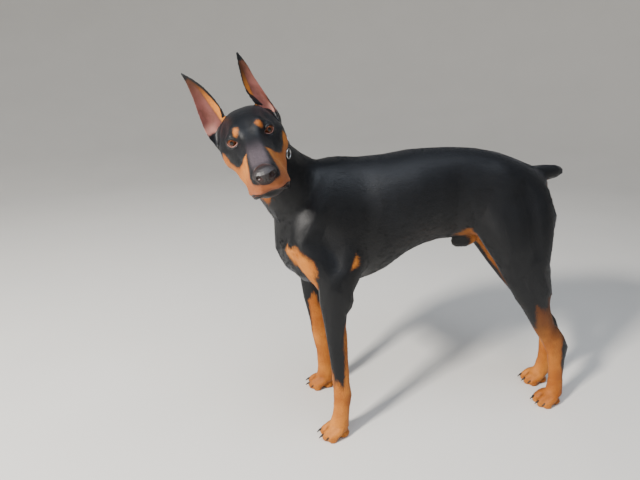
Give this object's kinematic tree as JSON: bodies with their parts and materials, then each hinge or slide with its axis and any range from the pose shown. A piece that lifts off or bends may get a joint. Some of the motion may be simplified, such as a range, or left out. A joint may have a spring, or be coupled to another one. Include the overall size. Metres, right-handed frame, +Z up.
{
  "type": "doberman pinscher",
  "caption": "Life-size still model of a young black-and-rust doberman pinscher, standing, head turned to its left, with cropped ears, docked tail and a plain collar.",
  "frame": {"origin": "on the floor, under the middle of the model's box", "axes": "+Z up, the trunk faces -X, the dog's own left is -Y, and the face looks along -Y"},
  "size_m": [0.9541, 0.4611, 0.8932],
  "materials": {
    "black_coat": "short glossy black fur",
    "rust_coat": "short rust-brown fur",
    "ear_skin": "bare pink-brown skin inside the cropped ears",
    "nose_leather": "moist, finely pebbled nose leather",
    "eye_glass": "clear polished glass eye over a brown iris",
    "claw_horn": "dark smooth horn",
    "collar_leather": "plain black leather, satin",
    "collar_steel": "polished steel"
  },
  "bodies": {
    "root": {"chest": "black_coat", "collar_buckle": "collar_steel", "collar_ring": "collar_steel", "collar_strap": "collar_leather", "ear_left": "ear_skin", "ear_right": "ear_skin", "eye_left": "eye_glass", "eye_right": "eye_glass", "fore_claw_left_1": "claw_horn", "fore_claw_left_2": "claw_horn", "fore_claw_left_3": "claw_horn", "fore_claw_left_4": "claw_horn", "fore_claw_right_1": "claw_horn", "fore_claw_right_2": "claw_horn", "fore_claw_right_3": "claw_horn", "fore_claw_right_4": "claw_horn", "fore_paw_left": "rust_coat", "fore_paw_right": "rust_coat", "foreleg_left": "black_coat", "foreleg_right": "black_coat", "head": "black_coat", "hind_claw_left_1": "claw_horn", "hind_claw_left_2": "claw_horn", "hind_claw_left_3": "claw_horn", "hind_claw_left_4": "claw_horn", "hind_claw_right_1": "claw_horn", "hind_claw_right_2": "claw_horn", "hind_claw_right_3": "claw_horn", "hind_claw_right_4": "claw_horn", "hind_pastern_left": "rust_coat", "hind_pastern_right": "rust_coat", "hind_paw_left": "rust_coat", "hind_paw_right": "rust_coat", "loin": "black_coat", "lower_jaw": "black_coat", "neck": "black_coat", "nose": "nose_leather", "pelvis": "black_coat", "shank_left": "black_coat", "shank_right": "black_coat", "sheath": "black_coat", "tail": "black_coat", "thigh_left": "black_coat", "thigh_right": "black_coat"}
  },
  "joints": []
}
